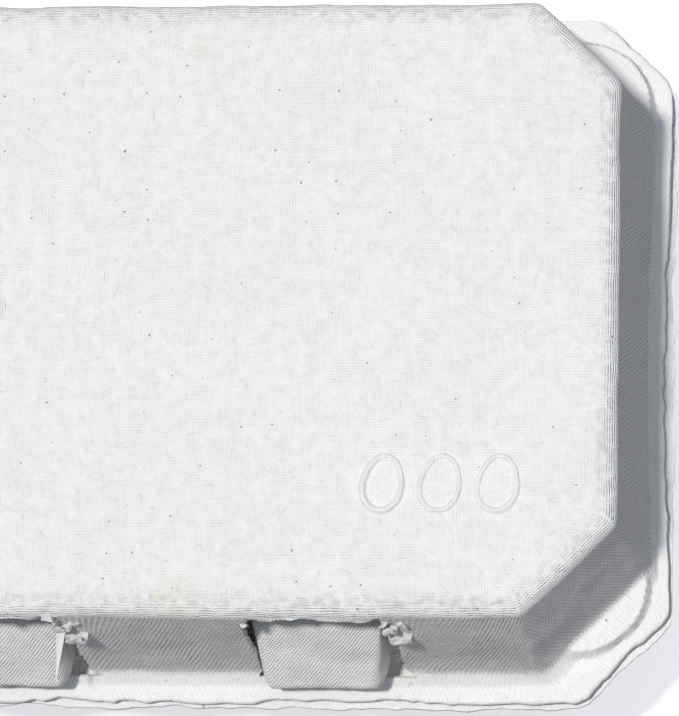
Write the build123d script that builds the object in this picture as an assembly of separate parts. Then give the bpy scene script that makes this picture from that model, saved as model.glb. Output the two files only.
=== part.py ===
from build123d import *
import math
import os

# A closed moulded-pulp box for six eggs. Millimetres, +Z up, +X along the length, front at -Y.
# The origin is at the bottom centre of the closed box.

pulp = 1.8  # thickness of the pressed pulp

# Base, from the feet up
web_top = 24.0  # top of the flat webs that join the egg cups
rim_joint = 37.2  # where the lid's rim lies on the base's rim
rim_half_length = 75.0
rim_front = -55.5
rim_back = 53.7
back_chamfer = 11.0
front_chamfer = 13.6
rim_corner_round = 4.0

# Base side band, between the webs and the rim
band_half_length = 72.4
band_front = -48.2
band_back = 50.7
band_chamfer = 11.5
band_draft = 8.0  # degrees

# Egg cups
cup_mouth = 42.0
cup_mouth_round = 15.0
cup_draft = 16.0  # degrees
column_joint = 23.4  # x of the joint between the middle and the outer cups
row_joint = 1.25  # y of the joint between the front and the back cups

# Posts and ridges
post_foot_radius = 9.6
post_top_radius = 4.6
post_top = 65.5
half_post_foot_radius = 6.6
half_post_top_radius = 4.2
ridge_width = 2.6
ridge_height = 2.2

# Lid
lid_top = 70.0
lid_rim_inset = 0.6
wall_half_length = 71.9
wall_front = -50.4
wall_back = 51.1
wall_back_chamfer = 14.8
wall_front_chamfer = 16.2
wall_draft = 8.08  # degrees
top_round = 2.4
wall_corner_round = 2.6
top_seam = 67.4  # below it the walls, above it the top with its rounded edge
ledge_radius = 10.9
ledge_height = 2.5
ledge_x = 60.4
ledge_back_y = 38.2
ledge_front_y = -36.4

# Lock flap and its two lugs
lug_x = 24.2
lug_offset = -1.6  # both lugs lie a little to the left in their slots
lug_width = 19.8
lug_top = 56.8
knee_y = -45.4  # where a lug's short top turns down into its long sloping face
knee_z = 56.4
lug_edge_round = 1.4
nose_reach = 3.0  # how far the nose stands out from the foot of the lid's front wall
nose_high = 45.2
nose_low = 42.0
nose_undercut = 0.3
heel = 40.4
slot_width = 24.0
slot_top = 66.3
flap_half_width = 39.0
flap_bottom = 38.6
flap_top = 57.0
flap_corner_round = 7.0
flap_foot_gap = 0.5
flap_lean = 20.0  # degrees inward from upright

# Living hinges
hinge_half_length = 58.0
hinge_skin = 0.9

# Three raised egg outlines on the lid's top
motif_x = 41.8
motif_y = -27.2
motif_height = 0.5
motif_spacing = 8.4
motif_lean = -10.0  # degrees
egg_half_width = 3.4
egg_blunt_end = 3.9
egg_slim_end = 5.3
egg_line_width = 1.1

beyond = 90.0  # further out than any side of the box, for trimming boxes

os.makedirs("parts", exist_ok=True)
lid_foot = rim_joint + pulp
wall_slope = math.tan(math.radians(wall_draft))
band_slope = math.tan(math.radians(band_draft))
leg_loss = 2 - math.sqrt(2)  # how much a 45 degree corner's leg shortens per mm of inset


def keep(name, shape):
    export_step(shape, f"parts/{name}.step")


def solid_box(low, high):
    size = [b - a for a, b in zip(low, high)]
    middle = [(a + b) / 2 for a, b in zip(low, high)]
    return Pos(*middle) * Box(*size)


def cornered_face(half_length, front, back, front_leg, back_leg, z):
    """A rectangle with its corners cut at 45 degrees, lying at height z."""
    right = [
        (half_length, front + front_leg),
        (half_length, back - back_leg),
        (half_length - back_leg, back),
    ]
    left = [(-x, y) for x, y in reversed(right)]
    feet = [(-half_length + front_leg, front), (half_length - front_leg, front)]
    return make_face(Polyline(*[(x, y, z) for x, y in feet + right + left], close=True))


def plate(half_length, front, back, front_leg, back_leg, z, height, rounding=0.0):
    solid = extrude(cornered_face(half_length, front, back, front_leg, back_leg, z), height)
    if rounding:
        solid = fillet(solid.edges().filter_by(Axis.Z), rounding)
    return solid


def tapered(outline, low, high):
    """The solid between an outline at two heights."""
    return loft([outline(low), outline(high)], ruled=True)


def band_outline(inset):
    def at(z):
        move = (rim_joint - z) * band_slope + inset
        leg = band_chamfer - leg_loss * move
        half_length = band_half_length - move
        return cornered_face(half_length, band_front + move, band_back - move, leg, leg, z)

    return at


def wall_outline(inset):
    def at(z):
        move = (z - lid_foot) * wall_slope + inset
        return cornered_face(
            wall_half_length - move,
            wall_front + move,
            wall_back - move,
            wall_front_chamfer - leg_loss * move,
            wall_back_chamfer - leg_loss * move,
            z,
        )

    return at


def wall_face_y(z):
    """Where the outside of the lid's front wall stands at height z."""
    return wall_front + (z - lid_foot) * wall_slope


# The cups stand in two rows of three inside the side band
band_inside = band_half_length - (rim_joint - web_top) * band_slope - pulp
row_names = {"front": -1, "back": 1}
column_names = {"left": -1, "middle": 0, "right": 1}
row_depth = (band_back - band_front) / 2 - (rim_joint - web_top) * band_slope - pulp


def cup_centre(column, row):
    x = column * (column_joint + band_inside) / 2
    return x, row_joint + row * row_depth / 2


def post(foot_radius, top_radius, foot, top):
    """An upright cone with a rounded head."""
    cone = Pos(0, 0, (foot + top) / 2) * Cone(foot_radius, top_radius, top - foot)
    head = cone.edges().sort_by(Axis.Z)[-1]
    return fillet(head, top_radius * 0.5)


def hollow_post(foot_radius, top_radius, foot, top):
    cavity = post(foot_radius - pulp, top_radius - pulp, foot, top - pulp)
    return post(foot_radius, top_radius, foot, top) - cavity


def post_hollow_below(foot_radius):
    """The open bottom of a post, cut through the web under it."""
    return Pos(0, 0, web_top - pulp / 2) * Cylinder(foot_radius - pulp, pulp)


def half_post_places():
    """The name and foot of each half post, where two cups meet the side band."""
    inside_front = band_front + (rim_joint - web_top) * band_slope + pulp
    inside_back = band_back - (rim_joint - web_top) * band_slope - pulp
    places = {}
    for side, sign in (("left", -1), ("right", 1)):
        places[f"half_post_front_{side}"] = (sign * column_joint, inside_front)
        places[f"half_post_back_{side}"] = (sign * column_joint, inside_back)
        places[f"half_post_end_{side}"] = (sign * band_inside, row_joint)
    return places


def base_rim():
    outer = plate(
        rim_half_length,
        rim_front,
        rim_back,
        front_chamfer,
        back_chamfer,
        rim_joint - pulp,
        pulp,
        rim_corner_round,
    )
    opening = extrude(band_outline(pulp)(rim_joint - pulp), pulp)
    keep("base_rim", outer - opening)


def side_band():
    """The base's upper wall, a tapered band. The front and back pieces hold the cut corners."""
    high = rim_joint - pulp
    band = tapered(band_outline(0), web_top, high) - tapered(band_outline(pulp), web_top, high)
    front_joint = band_front + band_chamfer
    back_joint = band_back - band_chamfer
    trims = {
        "front": ((-beyond, -beyond, 0), (beyond, front_joint, high)),
        "back": ((-beyond, back_joint, 0), (beyond, beyond, high)),
        "left": ((-beyond, front_joint, 0), (0, back_joint, high)),
        "right": ((0, front_joint, 0), (beyond, back_joint, high)),
    }
    for side, (low_corner, high_corner) in trims.items():
        keep(f"band_{side}", band & solid_box(low_corner, high_corner))


def egg_cups():
    """Each cup hangs from its own piece of the flat web and ends in a flat foot."""
    web = extrude(band_outline(0)(web_top), -pulp)
    openings = [
        Pos(sign * column_joint, row_joint, 0) * post_hollow_below(post_foot_radius)
        for sign in (-1, 1)
    ]
    openings += [
        Pos(x, y, 0) * post_hollow_below(half_post_foot_radius)
        for x, y in half_post_places().values()
    ]
    edges = [-rim_half_length, -column_joint, column_joint, rim_half_length]
    for row_name, row in row_names.items():
        for column_name, column in column_names.items():
            centre_x, centre_y = cup_centre(column, row)
            mouth = Pos(centre_x, centre_y, web_top) * RectangleRounded(
                cup_mouth, cup_mouth, cup_mouth_round
            )
            outside = Pos(centre_x, centre_y, web_top) * RectangleRounded(
                cup_mouth + 2 * pulp, cup_mouth + 2 * pulp, cup_mouth_round + pulp
            )
            hollow = extrude(mouth, -(web_top - pulp), taper=cup_draft)
            body = extrude(outside, -web_top, taper=cup_draft)
            low_y, high_y = (rim_front, row_joint) if row < 0 else (row_joint, rim_back)
            cell = solid_box((edges[column + 1], low_y, 0), (edges[column + 2], high_y, web_top))
            cup = (web + body) & cell
            cup = cup - hollow
            for opening in openings:
                cup = cup - opening
            keep(f"egg_cup_{row_name}_{column_name}", cup)


def centre_posts():
    for side, sign in (("left", -1), ("right", 1)):
        shape = hollow_post(post_foot_radius, post_top_radius, web_top, post_top)
        keep(f"centre_post_{side}", Pos(sign * column_joint, row_joint, 0) * shape)


def half_posts():
    top = rim_joint - pulp
    inside = tapered(band_outline(pulp), web_top, top)
    for name, (x, y) in half_post_places().items():
        shape = hollow_post(half_post_foot_radius, half_post_top_radius, web_top, top)
        keep(name, (Pos(x, y, 0) * shape) & inside)


def ridges():
    """Low rounded crests on the webs, running from post to post between the cups."""
    inside_front = band_front + (rim_joint - web_top) * band_slope + pulp
    inside_back = band_back - (rim_joint - web_top) * band_slope - pulp
    spans = {}
    for side, sign in (("left", -1), ("right", 1)):
        x = sign * column_joint
        spans[f"ridge_front_{side}"] = ((x, inside_front), (x, row_joint))
        spans[f"ridge_back_{side}"] = ((x, row_joint), (x, inside_back))
        spans[f"ridge_end_{side}"] = ((sign * column_joint, row_joint), (sign * band_inside, row_joint))
    spans["ridge_middle"] = ((-column_joint, row_joint), (column_joint, row_joint))
    for name, (start, end) in spans.items():
        lengthwise = start[1] == end[1]
        length = abs(end[0] - start[0]) + abs(end[1] - start[1])
        trims = {start: post_foot_radius, end: post_foot_radius}
        for point in trims:
            if point in half_post_places().values():
                trims[point] = half_post_foot_radius
        section = Plane.YZ * Pos(0, ridge_height / 2) * Rectangle(ridge_width, ridge_height)
        bar = Pos(-length / 2, 0, 0) * extrude(section, length)
        crest = bar.edges().filter_by(Axis.X).group_by(Axis.Z)[-1]
        bar = fillet(crest, ridge_width * 0.4)
        if not lengthwise:
            bar = Rot(0, 0, 90) * bar
        middle = ((start[0] + end[0]) / 2, (start[1] + end[1]) / 2)
        bar = Pos(middle[0], middle[1], web_top) * bar
        for (x, y), radius in trims.items():
            top_radius = post_top_radius if radius == post_foot_radius else half_post_top_radius
            top = post_top if radius == post_foot_radius else rim_joint - pulp
            bar = bar - Pos(x, y, 0) * post(radius, top_radius, web_top, top)
        keep(name, bar)


def lid_shell():
    outside = tapered(wall_outline(0), lid_foot, lid_top)
    uprights = [e for e in outside.edges() if e.length > pulp * 10 and e.bounding_box().size.Z > pulp]
    outside = fillet(uprights, wall_corner_round)
    outside = fillet(outside.faces().sort_by(Axis.Z)[-1].edges(), top_round)
    return outside - tapered(wall_outline(pulp), lid_foot, lid_top - pulp)


def corner_points(leg, half_length, end_y):
    """The two ends of a cut corner at the right, as (x, y)."""
    sign = 1 if end_y > 0 else -1
    return (half_length - leg, end_y), (half_length, end_y - sign * leg)


def mitre(foot, top):
    """A point outside the wall and a point inside it, on the line where two walls meet."""
    along = (top[0] - foot[0], top[1] - foot[1])
    outside = (foot[0] - along[0], foot[1] - along[1])
    inside = (foot[0] + along[0] * 3, foot[1] + along[1] * 3)
    return outside, inside


def wall_region(first, second):
    """The upright space of one wall, between its two mitres, from the rim to the top seam."""
    outline = [first[0], first[1], second[1], second[0]]
    face = make_face(Polyline(*[(x, y, lid_foot) for x, y in outline], close=True))
    return extrude(face, top_seam - lid_foot, dir=(0, 0, 1))


def lid_walls():
    shell = lid_shell()
    keep("lid_top", shell & solid_box((-beyond, -beyond, top_seam), (beyond, beyond, lid_top)))
    rise = (lid_top - lid_foot) * wall_slope
    lines = {}
    for end, foot_y, leg in (
        ("front", wall_front, wall_front_chamfer),
        ("back", wall_back, wall_back_chamfer),
    ):
        sign = 1 if foot_y > 0 else -1
        feet = corner_points(leg, wall_half_length, foot_y)
        tops = corner_points(leg - leg_loss * rise, wall_half_length - rise, foot_y - sign * rise)
        lines[end] = mitre(feet[0], tops[0])
        lines[f"side_{end}"] = mitre(feet[1], tops[1])

    def mirrored(line):
        return [(-x, y) for x, y in line]

    front = shell & wall_region(lines["front"], mirrored(lines["front"]))
    for sign in (-1, 1):
        low = (sign * lug_x - slot_width / 2, wall_front - pulp, lid_foot)
        high = (sign * lug_x + slot_width / 2, wall_front + 4 * pulp, slot_top)
        front = front - solid_box(low, high)
    keep("lid_front_wall", front)
    keep("lid_back_wall", shell & wall_region(lines["back"], mirrored(lines["back"])))
    for side in ("right", "left"):
        turn = mirrored if side == "left" else list
        wall = wall_region(turn(lines["side_front"]), turn(lines["side_back"]))
        keep(f"lid_{side}_wall", shell & wall)
        for end in ("front", "back"):
            corner = wall_region(turn(lines[end]), turn(lines[f"side_{end}"]))
            keep(f"lid_corner_{end}_{side}", shell & corner)


def corner_ledges():
    """The low rounded step at each corner, between the cut corner wall and the rim."""
    inside = tapered(wall_outline(0), lid_foot, lid_top)
    for end, y in (("front", ledge_front_y), ("back", ledge_back_y)):
        for side, sign in (("left", -1), ("right", 1)):
            drum = Pos(sign * ledge_x, y, lid_foot + ledge_height / 2) * Cylinder(
                ledge_radius, ledge_height
            )
            keep(f"lid_ledge_{end}_{side}", drum - inside)


def lid_rim():
    outer = plate(
        rim_half_length - lid_rim_inset,
        rim_front + lid_rim_inset,
        rim_back - lid_rim_inset,
        front_chamfer,
        back_chamfer,
        rim_joint,
        pulp,
        rim_corner_round,
    )
    hinge_side = solid_box(
        (-hinge_half_length, rim_back - 3 * lid_rim_inset, rim_joint),
        (hinge_half_length, rim_back, lid_foot),
    )
    opening = extrude(wall_outline(pulp)(lid_foot), -pulp)
    keep("lid_rim", outer + hinge_side - opening)


def egg_outline_ring():
    """One raised egg outline: two half ellipses, a blunt one below and a slimmer one above."""

    def egg(inset):
        wide = egg_half_width - inset
        above = EllipticalCenterArc((0, 0), wide, egg_slim_end - inset, 0, arc_size=180)
        below = EllipticalCenterArc((0, 0), wide, egg_blunt_end - inset, 180, arc_size=180)
        return make_face(above + below)

    return extrude(egg(0), motif_height) - extrude(egg(egg_line_width), motif_height)


def lid_motif():
    ring = egg_outline_ring()
    eggs = [
        Pos(motif_x + step * motif_spacing, motif_y, lid_top) * Rot(0, 0, motif_lean) * ring
        for step in (-1, 0, 1)
    ]
    keep("lid_motif", Compound(children=[egg.solids()[0] for egg in eggs]))


def flap_face_y(z):
    """Where the outside of the leaning flap stands at height z."""
    foot = wall_face_y(flap_bottom) + pulp + flap_foot_gap
    return foot + (z - flap_bottom) * math.tan(math.radians(flap_lean))


def along_x(points, centre_x, width):
    """A solid of constant section in the YZ plane, centred on centre_x."""
    start = centre_x - width / 2
    face = make_face(Polyline(*[(start, y, z) for y, z in points], close=True))
    return extrude(face, width, dir=(1, 0, 0))


def lock_flap():
    section = [
        (flap_face_y(flap_bottom), flap_bottom),
        (flap_face_y(flap_top), flap_top),
        (flap_face_y(flap_top) + pulp, flap_top),
        (flap_face_y(flap_bottom) + pulp, flap_bottom),
    ]
    panel = along_x(section, 0, 2 * flap_half_width)
    height = flap_top - flap_bottom
    front_view = Plane.XZ * Pos(0, flap_bottom) * RectangleRounded(
        2 * flap_half_width, 2 * height, flap_corner_round
    )
    keep("lock_flap_panel", panel & extrude(front_view, rim_half_length, both=True))


def lock_lugs():
    """Each lug slopes down and out of its slot and ends in a blunt nose just above the rim."""
    nose_y = wall_front - nose_reach
    section = [
        (flap_face_y(lug_top), lug_top),
        (knee_y, knee_z),
        (nose_y, nose_high),
        (nose_y + nose_undercut, nose_low),
        (flap_face_y(heel), heel),
    ]
    for side, sign in (("left", -1), ("right", 1)):
        lug = along_x(section, sign * lug_x + lug_offset, lug_width)
        front = [e for e in lug.edges() if e.center().Y < flap_face_y(e.center().Z) - 1.0]
        keep(f"lock_lug_{side}", fillet(front, lug_edge_round))


def living_hinges():
    """The thin folds of pulp that join the three panels."""
    axis = Pos(0, rim_back, rim_joint) * Rot(0, 90, 0)
    fold = axis * Cylinder(pulp, 2 * hinge_half_length)
    fold = fold - axis * Cylinder(pulp - hinge_skin, 2 * hinge_half_length)
    behind = solid_box((-beyond, rim_back, 0), (beyond, beyond, lid_top))
    keep("lid_hinge_fold", fold & behind)
    foot = flap_face_y(flap_bottom)
    keep(
        "flap_hinge_fold",
        solid_box(
            (-flap_half_width, foot, rim_joint),
            (flap_half_width, foot + hinge_skin, flap_bottom),
        ),
    )


base_rim()
side_band()
egg_cups()
centre_posts()
half_posts()
ridges()
lid_walls()
corner_ledges()
lid_rim()
lid_motif()
lock_flap()
lock_lugs()
living_hinges()
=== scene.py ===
import math

import bmesh
import bpy
import numpy as np
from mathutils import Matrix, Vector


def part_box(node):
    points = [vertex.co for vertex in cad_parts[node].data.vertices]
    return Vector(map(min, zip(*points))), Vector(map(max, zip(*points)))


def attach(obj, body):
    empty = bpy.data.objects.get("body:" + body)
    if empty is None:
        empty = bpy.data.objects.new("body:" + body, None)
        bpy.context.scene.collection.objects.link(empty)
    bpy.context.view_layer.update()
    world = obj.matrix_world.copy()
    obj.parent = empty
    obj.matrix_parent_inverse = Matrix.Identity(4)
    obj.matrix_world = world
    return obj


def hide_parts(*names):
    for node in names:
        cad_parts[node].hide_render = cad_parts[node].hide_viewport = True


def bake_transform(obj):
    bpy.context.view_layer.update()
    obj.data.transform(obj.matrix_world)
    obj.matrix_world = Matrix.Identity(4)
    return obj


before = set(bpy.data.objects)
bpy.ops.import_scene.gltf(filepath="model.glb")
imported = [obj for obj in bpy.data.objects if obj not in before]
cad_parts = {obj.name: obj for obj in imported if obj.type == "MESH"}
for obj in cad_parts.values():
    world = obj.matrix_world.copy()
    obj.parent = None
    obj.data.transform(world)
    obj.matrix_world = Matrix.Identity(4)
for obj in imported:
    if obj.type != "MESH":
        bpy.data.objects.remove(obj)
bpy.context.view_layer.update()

metre = 0.001  # a millimetre, in metres: shapes are worked out in millimetres
print("frame loaded:", len(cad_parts), "nodes")


# numbers read from the frame, in mm
def boxMm(node):
    low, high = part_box(node)
    return np.array(low) / metre, np.array(high) / metre


baseRimLow, baseRimHigh = boxMm("base_rim")
lidRimLow, lidRimHigh = boxMm("lid_rim")
lidTopLow, lidTopHigh = boxMm("lid_top")
frontWallLow, frontWallHigh = boxMm("lid_front_wall")
backWallHigh = boxMm("lid_back_wall")[1]
rightWallHigh = boxMm("lid_right_wall")[1]
flapLow, flapHigh = boxMm("lock_flap_panel")
lugLow, lugHigh = boxMm("lock_lug_right")
leftLugLow, leftLugHigh = boxMm("lock_lug_left")
webTop = boxMm("egg_cup_back_middle")[1][2]  # the flat web between the cups
rimJoint = baseRimHigh[2]  # where the two rims meet
lidFoot = lidRimHigh[2]
lidTop = lidTopHigh[2]
wallSlope = (rightWallHigh[0] - lidTopHigh[0]) / (lidTopLow[2] - lidFoot)


# shared shape tools
def lumps(points, size, seed, waves=26):
    # smooth noise: a sum of cosine waves in random directions, about one unit high, size mm long
    rng = np.random.default_rng(seed)
    heading = rng.normal(size=(waves, 3))
    heading /= np.linalg.norm(heading, axis=1)[:, None]
    turn = heading * (2 * np.pi / size * rng.uniform(0.6, 1.5, waves))[:, None]
    phase = rng.uniform(0, 2 * np.pi, waves)
    flat = np.asarray(points).reshape(-1, 3)
    return (np.cos(flat @ turn.T + phase).sum(1) * math.sqrt(2 / waves)).reshape(points.shape[:-1])


def layered(points, seed, *layers):
    # a sum of smooth noises, each given as its height and its size in mm
    return sum(height * lumps(points, size, seed + k) for k, (height, size) in enumerate(layers))


def level(points, z):
    # flat points, all at height z
    return np.column_stack([points, np.full(len(points), z)])


def smooth(value):
    value = np.clip(value, 0, 1)
    return value * value * (3 - 2 * value)


def spaced(start, end, step, crowd=0.0):
    # values from start up to, not including, end; crowd draws them towards both ends
    count = max(2, int(round(abs(end - start) / step)))
    share = np.arange(count) / count
    share = share * (1 - crowd) + crowd * (0.5 - 0.5 * np.cos(np.pi * share))
    return start + (end - start) * share


def normalsOf(grid, closed):
    # the cross product of the steps along the columns and along the rows, at each point
    if closed:
        along = np.roll(grid, -1, 1) - np.roll(grid, 1, 1)
    else:
        along = np.gradient(grid, axis=1)
    up = np.gradient(grid, axis=0)
    normal = np.cross(along, up)
    return normal / np.maximum(np.linalg.norm(normal, axis=2, keepdims=True), 1e-9)


def gridPiece(name, grid, sheet, closed=True, keepFace=None, extra=None):
    # rows by columns of points joined as four-sided faces; sheet holds each face corner's pattern place
    rows, columns = grid.shape[:2]
    across = columns if closed else columns - 1
    i, j = np.meshgrid(np.arange(rows - 1), np.arange(across), indexing="ij")
    if keepFace is not None:
        i, j = i[keepFace], j[keepFace]
    i, j = i.ravel(), j.ravel()
    right = (j + 1) % columns
    under, over = i * columns, (i + 1) * columns
    faces = np.stack([under + j, under + right, over + right, over + j], 1)
    points = grid.reshape(-1, 3) * metre
    used = np.unique(faces)
    place = np.full(len(points), -1)
    place[used] = np.arange(len(used))
    mesh = bpy.data.meshes.new(name)
    mesh.from_pydata(points[used].tolist(), [], place[faces].tolist())
    for label, places in (("sheet", sheet), ("fromEdge", extra)):
        if places is not None:
            corners = np.stack([places[i, j], places[i, j + 1], places[i + 1, j + 1], places[i + 1, j]], 1)
            mesh.uv_layers.new(name=label).data.foreach_set("uv", corners.ravel())
    piece = bpy.data.objects.new(name, mesh)
    bpy.context.scene.collection.objects.link(piece)
    return piece


def sheetOf(along, across):
    # pattern places for a grid: its own running lengths, one more column than the grid when it closes
    u, v = np.meshgrid(along, across)
    return np.stack([u, v], 2)


def weld(piece, distance=0.02):
    work = bmesh.new()
    work.from_mesh(piece.data)
    bmesh.ops.remove_doubles(work, verts=work.verts, dist=distance * metre)
    work.to_mesh(piece.data)
    work.free()


def applyModifiers(piece):
    view = bpy.context.evaluated_depsgraph_get()
    made = bpy.data.meshes.new_from_object(piece.evaluated_get(view))
    made.name = piece.name
    piece.modifiers.clear()
    piece.data = made


def giveSkin(piece, thickness, offset=-1, even=False, clamp=0.0):
    wall = piece.modifiers.new("wall", "SOLIDIFY")
    wall.thickness = thickness * metre
    wall.offset = offset
    wall.use_even_offset = even
    wall.thickness_clamp = clamp
    applyModifiers(piece)


def thicken(piece, thickness, roundEdge, even=True):
    # gives a sheet its pulp thickness on the side away from its normals, then rounds the cut edges
    giveSkin(piece, thickness, even=even, clamp=0.5)
    if roundEdge:
        edge = piece.modifiers.new("edge", "BEVEL")
        edge.width = roundEdge * metre
        edge.segments = 2
        edge.limit_method = "ANGLE"
        edge.angle_limit = math.radians(58)
        edge.use_clamp_overlap = True
        applyModifiers(piece)
    shade(piece)


def shade(piece, crease=50):
    piece.data.polygons.foreach_set("use_smooth", np.ones(len(piece.data.polygons), bool))
    piece.data.set_sharp_from_angle(angle=math.radians(crease))
    piece.data.update()


def settle(piece, body, nodes, material):
    piece.data.materials.clear()
    piece.data.materials.append(material)
    if body:
        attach(piece, body)
    if nodes:
        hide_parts(*nodes)


def joinPieces(name, pieces):
    # merges several finished meshes into one piece
    work = bmesh.new()
    for piece in pieces:
        work.from_mesh(piece.data)
        bpy.data.objects.remove(piece)
    mesh = bpy.data.meshes.new(name)
    work.to_mesh(mesh)
    work.free()
    joined = bpy.data.objects.new(name, mesh)
    bpy.context.scene.collection.objects.link(joined)
    return joined


def corneredOutline(half, front, back, frontLeg, backLeg, rounding, runs, arcSteps=4):
    # a rectangle with 45 degree cut corners, each angle rounded; runs are the places along each side
    corners = np.array([
        (-half + frontLeg, front), (half - frontLeg, front), (half, front + frontLeg), (half, back - backLeg),
        (half - backLeg, back), (-half + backLeg, back), (-half, back - backLeg), (-half, front + frontLeg),
    ])
    trim = rounding * math.tan(math.pi / 8)
    points = []
    for side in range(8):
        start, end = corners[side], corners[(side + 1) % 8]
        length = np.linalg.norm(end - start)
        along = (end - start) / length
        left = np.array([-along[1], along[0]])
        points.append(start + along * (trim + (length - 2 * trim) * runs[side](length - 2 * trim))[:, None])
        angle = (np.arange(arcSteps) + 0.5) / arcSteps * math.pi / 4
        centre = end - along * trim + left * rounding
        points.append(centre + rounding * (np.sin(angle)[:, None] * along - np.cos(angle)[:, None] * left))
    return np.concatenate(points)


def rowLengths(grid):
    # the running distance from the first row, averaged over the columns
    return np.concatenate([[0], np.cumsum(np.linalg.norm(np.diff(grid, axis=0), axis=2).mean(1))])


def runLengths(outline):
    step = np.linalg.norm(np.roll(outline, -1, 0) - outline, axis=1)
    return np.concatenate([[0], np.cumsum(step)])


# node groups and the pulp's finish
def newGroup(name, output, **numbers):
    # a group that takes a place and some numbers, and puts out one number
    group = bpy.data.node_groups.new(name, "ShaderNodeTree")
    group.interface.new_socket("Vector", in_out="INPUT", socket_type="NodeSocketVector")
    for label, value in numbers.items():
        socket = group.interface.new_socket(label, in_out="INPUT", socket_type="NodeSocketFloat")
        socket.default_value = value
    group.interface.new_socket(output, in_out="OUTPUT", socket_type="NodeSocketFloat")
    return group, group.nodes.new("NodeGroupInput").outputs, group.nodes.new("NodeGroupOutput").inputs[0]


def connect(tree, target, source):
    # a value goes on the socket, a socket is linked to it
    if isinstance(source, bpy.types.NodeSocket):
        tree.links.new(source, target)
    else:
        target.default_value = source


def compute(tree, operation, first, second=0.0, third=0.0):
    node = tree.nodes.new("ShaderNodeMath")
    node.operation = operation
    for socket, value in zip(node.inputs, (first, second, third)):
        connect(tree, socket, value)
    return node.outputs[0]


def times(tree, first, second):
    return compute(tree, "MULTIPLY", first, second)


def span(tree, value, low, high, outLow=0.0, outHigh=1.0):
    # a smooth step of value from low to high
    node = tree.nodes.new("ShaderNodeMapRange")
    node.interpolation_type = "SMOOTHSTEP"
    labels = ("Value", "From Min", "From Max", "To Min", "To Max")
    for label, given in zip(labels, (value, low, high, outLow, outHigh)):
        connect(tree, node.inputs[label], given)
    return node.outputs["Result"]


def noise(tree, vector, scale, detail=2.0, rough=0.5):
    node = tree.nodes.new("ShaderNodeTexNoise")
    connect(tree, node.inputs["Vector"], vector)
    connect(tree, node.inputs["Scale"], scale)
    node.inputs["Detail"].default_value = detail
    node.inputs["Roughness"].default_value = rough
    return node


def vectorMath(tree, operation, first, second=(0, 0, 0), scale=1.0):
    node = tree.nodes.new("ShaderNodeVectorMath")
    node.operation = operation
    connect(tree, node.inputs[0], first)
    if operation == "SCALE":
        connect(tree, node.inputs["Scale"], scale)
    else:
        connect(tree, node.inputs[1], second)
    return node.outputs["Vector"]


def split(tree, vector):
    node = tree.nodes.new("ShaderNodeSeparateXYZ")
    connect(tree, node.inputs[0], vector)
    return node.outputs


def rotated(tree, vector, angle):
    # turns a place about Z and gives its x and y
    node = tree.nodes.new("ShaderNodeVectorRotate")
    node.rotation_type = "Z_AXIS"
    connect(tree, node.inputs["Vector"], vector)
    connect(tree, node.inputs["Angle"], angle)
    return split(tree, node.outputs[0])


def drifted(tree, vector, scale, detail, amount):
    # moves a place by up to half the amount each way, by a noise of the given scale
    drift = noise(tree, vector, scale, detail).outputs["Color"]
    drift = vectorMath(tree, "SUBTRACT", drift, (0.5, 0.5, 0.5))
    return vectorMath(tree, "ADD", vector, vectorMath(tree, "SCALE", drift, scale=amount))


def cells(tree, vector, scale):
    node = tree.nodes.new("ShaderNodeTexVoronoi")
    node.voronoi_dimensions = "2D"
    connect(tree, node.inputs["Vector"], vector)
    connect(tree, node.inputs["Scale"], scale)
    return node


def wirePrintGroup():
    # crossed wires pressed in the pulp: two sine waves at right angles, wavering and fading in patches;
    # Leading is the first wave's least share of the two
    group, given, made = newGroup("wirePrint", "Height", Pitch=0.45, Turn=0.0, Waver=0.25,
                                  Faintest=0.25, Leading=0.25)
    place = drifted(group, given["Vector"], 0.22, 1.0, given["Waver"])
    turned = rotated(group, place, given["Turn"])
    rate = compute(group, "DIVIDE", 2 * math.pi, given["Pitch"])
    waveX = compute(group, "SINE", times(group, turned[0], rate))
    waveY = compute(group, "SINE", times(group, turned[1], rate))
    patch = noise(group, given["Vector"], 0.12, 2.0)
    sway = span(group, patch.outputs["Fac"], 0.35, 0.65, given["Leading"], 0.75)
    rest = compute(group, "SUBTRACT", 1.0, sway)
    wires = compute(group, "ADD", times(group, waveX, sway), times(group, waveY, rest))
    faded = noise(group, given["Vector"], 0.5, 2.0).outputs["Fac"]
    fade = span(group, faded, 0.3, 0.62, given["Faintest"], 1.0)
    connect(group, made, times(group, wires, fade))
    return group


def fleckGroup():
    # scattered bits: cells whose middle is a ragged blot, kept only where the cell's own random number is low
    group, given, made = newGroup("flecks", "Mask", Spacing=6.0, Size=0.6, Share=0.4, Ragged=0.5)
    place = drifted(group, given["Vector"], 1.3, 2.0, given["Ragged"])
    cell = cells(group, place, compute(group, "DIVIDE", 1.0, given["Spacing"]))
    draw = group.nodes.new("ShaderNodeSeparateColor")
    connect(group, draw.inputs[0], cell.outputs["Color"])
    away = times(group, cell.outputs["Distance"], given["Spacing"])
    radius = times(group, given["Size"], span(group, draw.outputs[1], 0.0, 1.0, 0.35, 1.0))
    blot = span(group, away, times(group, radius, 0.75), radius, 1.0, 0.0)
    chosen = compute(group, "LESS_THAN", draw.outputs[0], given["Share"])
    connect(group, made, times(group, blot, chosen))
    return group


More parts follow.
